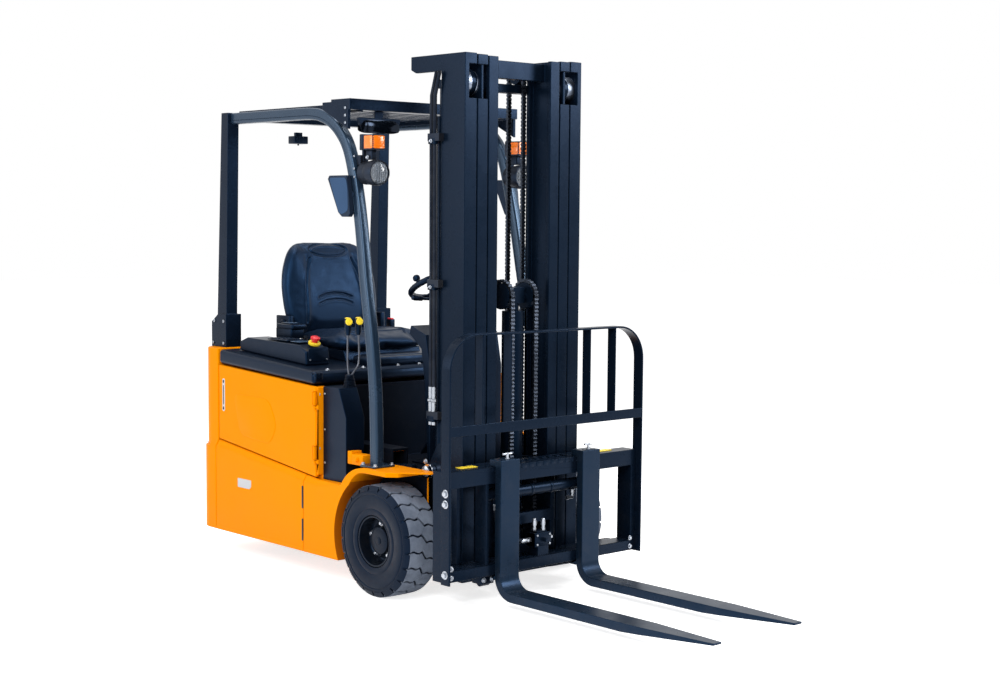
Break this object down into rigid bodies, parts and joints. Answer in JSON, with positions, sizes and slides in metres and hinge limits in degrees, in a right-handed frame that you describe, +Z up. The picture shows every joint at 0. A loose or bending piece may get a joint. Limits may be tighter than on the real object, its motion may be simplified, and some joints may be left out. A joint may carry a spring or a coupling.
{
  "type": "three-wheel electric counterbalance forklift",
  "caption": "Three-wheel electric counterbalance forklift with a triplex mast, side-shifting fork carriage, overhead guard and driver's seat.",
  "frame": {"origin": "middle of the truck's box, on the floor that the tyres stand on", "axes": "+X points forward to the fork tips, +Y to the driver's left, +Z up"},
  "size_m": [2.847, 1.092, 2.171],
  "materials": {
    "body_paint": "yellow-orange gloss enamel",
    "mast_paint": "semi-gloss black enamel",
    "guard_paint": "semi-gloss black powder coat",
    "fork_paint": "black paint over forged steel",
    "wheel_paint": "black wheel enamel",
    "cast_parts": "dark casting",
    "battery_case": "grey coated case",
    "tyre_rubber": "solid resilient rubber",
    "hood_plastic": "grained black moulding",
    "lever_plastic": "fine black moulding",
    "seat_vinyl": "black grained vinyl",
    "lamp_housing": "amber lens on a black base",
    "mirror_shell": "black moulded shell",
    "ram_steel": "machined steel",
    "ram_chrome": "hard chrome",
    "chain_steel": "oiled dark steel",
    "hose_rubber": "black hydraulic hose"
  },
  "bodies": {
    "chassis": {"frame": "body_paint", "drive_axle": "cast_parts", "counterweight": "body_paint", "battery": "battery_case", "side_panel_right": "body_paint", "side_panel_left": "body_paint", "front_wing_right": "body_paint", "front_wing_left": "body_paint", "guard_front_right": "guard_paint", "guard_front_left": "guard_paint", "guard_rear_right": "guard_paint", "guard_rear_left": "guard_paint", "guard_roof": "guard_paint", "lamp_right": "lamp_housing", "lamp_left": "lamp_housing", "side_mirror_right": "mirror_shell", "side_mirror_left": "mirror_shell", "centre_mirror": "mirror_shell", "lever_cowl": "hood_plastic", "lever_unit": "lever_plastic", "dash": "hood_plastic", "pedals": "cast_parts"},
    "front_wheel_right": {"front_rim_right": "wheel_paint", "front_tyre_right": "tyre_rubber"},
    "front_wheel_left": {"front_rim_left": "wheel_paint", "front_tyre_left": "tyre_rubber"},
    "steer_unit": {"steer_knuckle": "cast_parts"},
    "rear_wheels": {"rear_wheel_hub": "wheel_paint", "rear_tyre_right": "tyre_rubber", "rear_tyre_left": "tyre_rubber"},
    "hand_wheel": {"steering_wheel": "lever_plastic"},
    "door_right": {"battery_door_right": "body_paint"},
    "door_left": {"battery_door_left": "body_paint"},
    "seat_deck": {"hood": "hood_plastic", "seat_base": "hood_plastic", "seat_cushion": "seat_vinyl", "seat_back": "seat_vinyl", "control_console": "hood_plastic"},
    "mast_outer": {"outer_mast": "mast_paint", "lift_cylinder_right": "mast_paint", "lift_cylinder_left": "mast_paint", "mast_chains_rear": "chain_steel", "mast_hoses": "hose_rubber"},
    "mast_middle": {"middle_mast": "mast_paint"},
    "mast_inner": {"inner_mast": "mast_paint", "free_lift_cylinder": "mast_paint", "ram_chains": "chain_steel", "mast_chains_front": "chain_steel"},
    "free_lift_ram": {"lift_ram": "ram_steel"},
    "tilt_cylinder_right": {"tilt_barrel_right": "mast_paint"},
    "tilt_cylinder_left": {"tilt_barrel_left": "mast_paint"},
    "tilt_ram_right": {"tilt_rod_right": "ram_chrome"},
    "tilt_ram_left": {"tilt_rod_left": "ram_chrome"},
    "fork_carriage": {"carriage": "mast_paint", "carriage_chains": "chain_steel"},
    "side_shift_frame": {"side_shifter": "mast_paint", "side_shift_hose": "hose_rubber", "load_backrest": "mast_paint"},
    "fork_arm_right": {"fork_right": "fork_paint"},
    "fork_arm_left": {"fork_left": "fork_paint"}
  },
  "joints": [
    {"name": "front_wheel_right_spin", "type": "hinge", "parent": "chassis", "child": "front_wheel_right", "pos_m": [-0.1125, -0.461, 0.228], "axis": [0, 1, 0], "continuous": true},
    {"name": "front_wheel_left_spin", "type": "hinge", "parent": "chassis", "child": "front_wheel_left", "pos_m": [-0.1125, 0.461, 0.228], "axis": [0, 1, 0], "continuous": true},
    {"name": "steer", "type": "hinge", "parent": "chassis", "child": "steer_unit", "pos_m": [-1.1725, 0, 0.345], "axis": [0, 0, 1], "range_deg": [-90, 90]},
    {"name": "rear_wheels_spin", "type": "hinge", "parent": "steer_unit", "child": "rear_wheels", "pos_m": [-1.1725, 0, 0.165], "axis": [0, 1, 0], "continuous": true},
    {"name": "steering_wheel_turn", "type": "hinge", "parent": "chassis", "child": "hand_wheel", "pos_m": [-0.3085, 0, 1.245], "axis": [-0.4067, 0, 0.9135], "continuous": true},
    {"name": "battery_door_right_hinge", "type": "hinge", "parent": "chassis", "child": "door_right", "pos_m": [-0.526, -0.533, 0.64], "axis": [0, 0, 1], "range_deg": [0, 110]},
    {"name": "battery_door_left_hinge", "type": "hinge", "parent": "chassis", "child": "door_left", "pos_m": [-0.526, 0.533, 0.64], "axis": [0, 0, -1], "range_deg": [0, 110]},
    {"name": "hood_hinge", "type": "hinge", "parent": "chassis", "child": "seat_deck", "pos_m": [-1.2705, 0, 0.942], "axis": [0, -1, 0], "range_deg": [0, 45]},
    {"name": "mast_tilt", "type": "hinge", "parent": "chassis", "child": "mast_outer", "pos_m": [-0.0075, 0, 0.235], "axis": [0, 1, 0], "range_deg": [-5, 3]},
    {"name": "tilt_cylinder_right_swing", "type": "hinge", "parent": "chassis", "child": "tilt_cylinder_right", "pos_m": [-0.4425, -0.33, 0.47], "axis": [0, 1, 0], "range_deg": [-0.3, 0.3]},
    {"name": "tilt_cylinder_left_swing", "type": "hinge", "parent": "chassis", "child": "tilt_cylinder_left", "pos_m": [-0.4425, 0.33, 0.47], "axis": [0, 1, 0], "range_deg": [-0.3, 0.3]},
    {"name": "tilt_rod_right_slide", "type": "slide", "parent": "tilt_cylinder_right", "child": "tilt_ram_right", "axis": [0.9967, 0, 0.0815], "range_m": [-0.025, 0.016]},
    {"name": "tilt_rod_left_slide", "type": "slide", "parent": "tilt_cylinder_left", "child": "tilt_ram_left", "axis": [0.9967, 0, 0.0815], "range_m": [-0.025, 0.016]},
    {"name": "mast_middle_lift", "type": "slide", "parent": "mast_outer", "child": "mast_middle", "axis": [0, 0, 1], "range_m": [0, 1.64]},
    {"name": "mast_inner_lift", "type": "slide", "parent": "mast_middle", "child": "mast_inner", "axis": [0, 0, 1], "range_m": [0, 1.64], "deforming": ["mast_chains_front"]},
    {"name": "carriage_lift", "type": "slide", "parent": "mast_inner", "child": "fork_carriage", "axis": [0, 0, 1], "range_m": [0, 1.48], "deforming": ["carriage_chains"]},
    {"name": "free_lift_ram_slide", "type": "slide", "parent": "mast_inner", "child": "free_lift_ram", "axis": [0, 0, 1], "range_m": [0, 0.74]},
    {"name": "side_shift", "type": "slide", "parent": "fork_carriage", "child": "side_shift_frame", "axis": [0, 1, 0], "range_m": [-0.1, 0.1]},
    {"name": "fork_right_slide", "type": "slide", "parent": "side_shift_frame", "child": "fork_arm_right", "axis": [0, -1, 0], "range_m": [-0.165, 0.245]},
    {"name": "fork_left_slide", "type": "slide", "parent": "side_shift_frame", "child": "fork_arm_left", "axis": [0, 1, 0], "range_m": [-0.165, 0.245]}
  ],
  "couplings": [
    {"joint": "tilt_cylinder_right_swing", "follows": "mast_tilt", "ratio": 0.035},
    {"joint": "tilt_cylinder_left_swing", "follows": "mast_tilt", "ratio": 0.035},
    {"joint": "tilt_rod_right_slide", "follows": "mast_tilt", "m_per_rad": 0.2697},
    {"joint": "tilt_rod_left_slide", "follows": "mast_tilt", "m_per_rad": 0.2697},
    {"joint": "mast_inner_lift", "follows": "mast_middle_lift", "ratio": 1},
    {"joint": "free_lift_ram_slide", "follows": "carriage_lift", "ratio": 0.5}
  ]
}
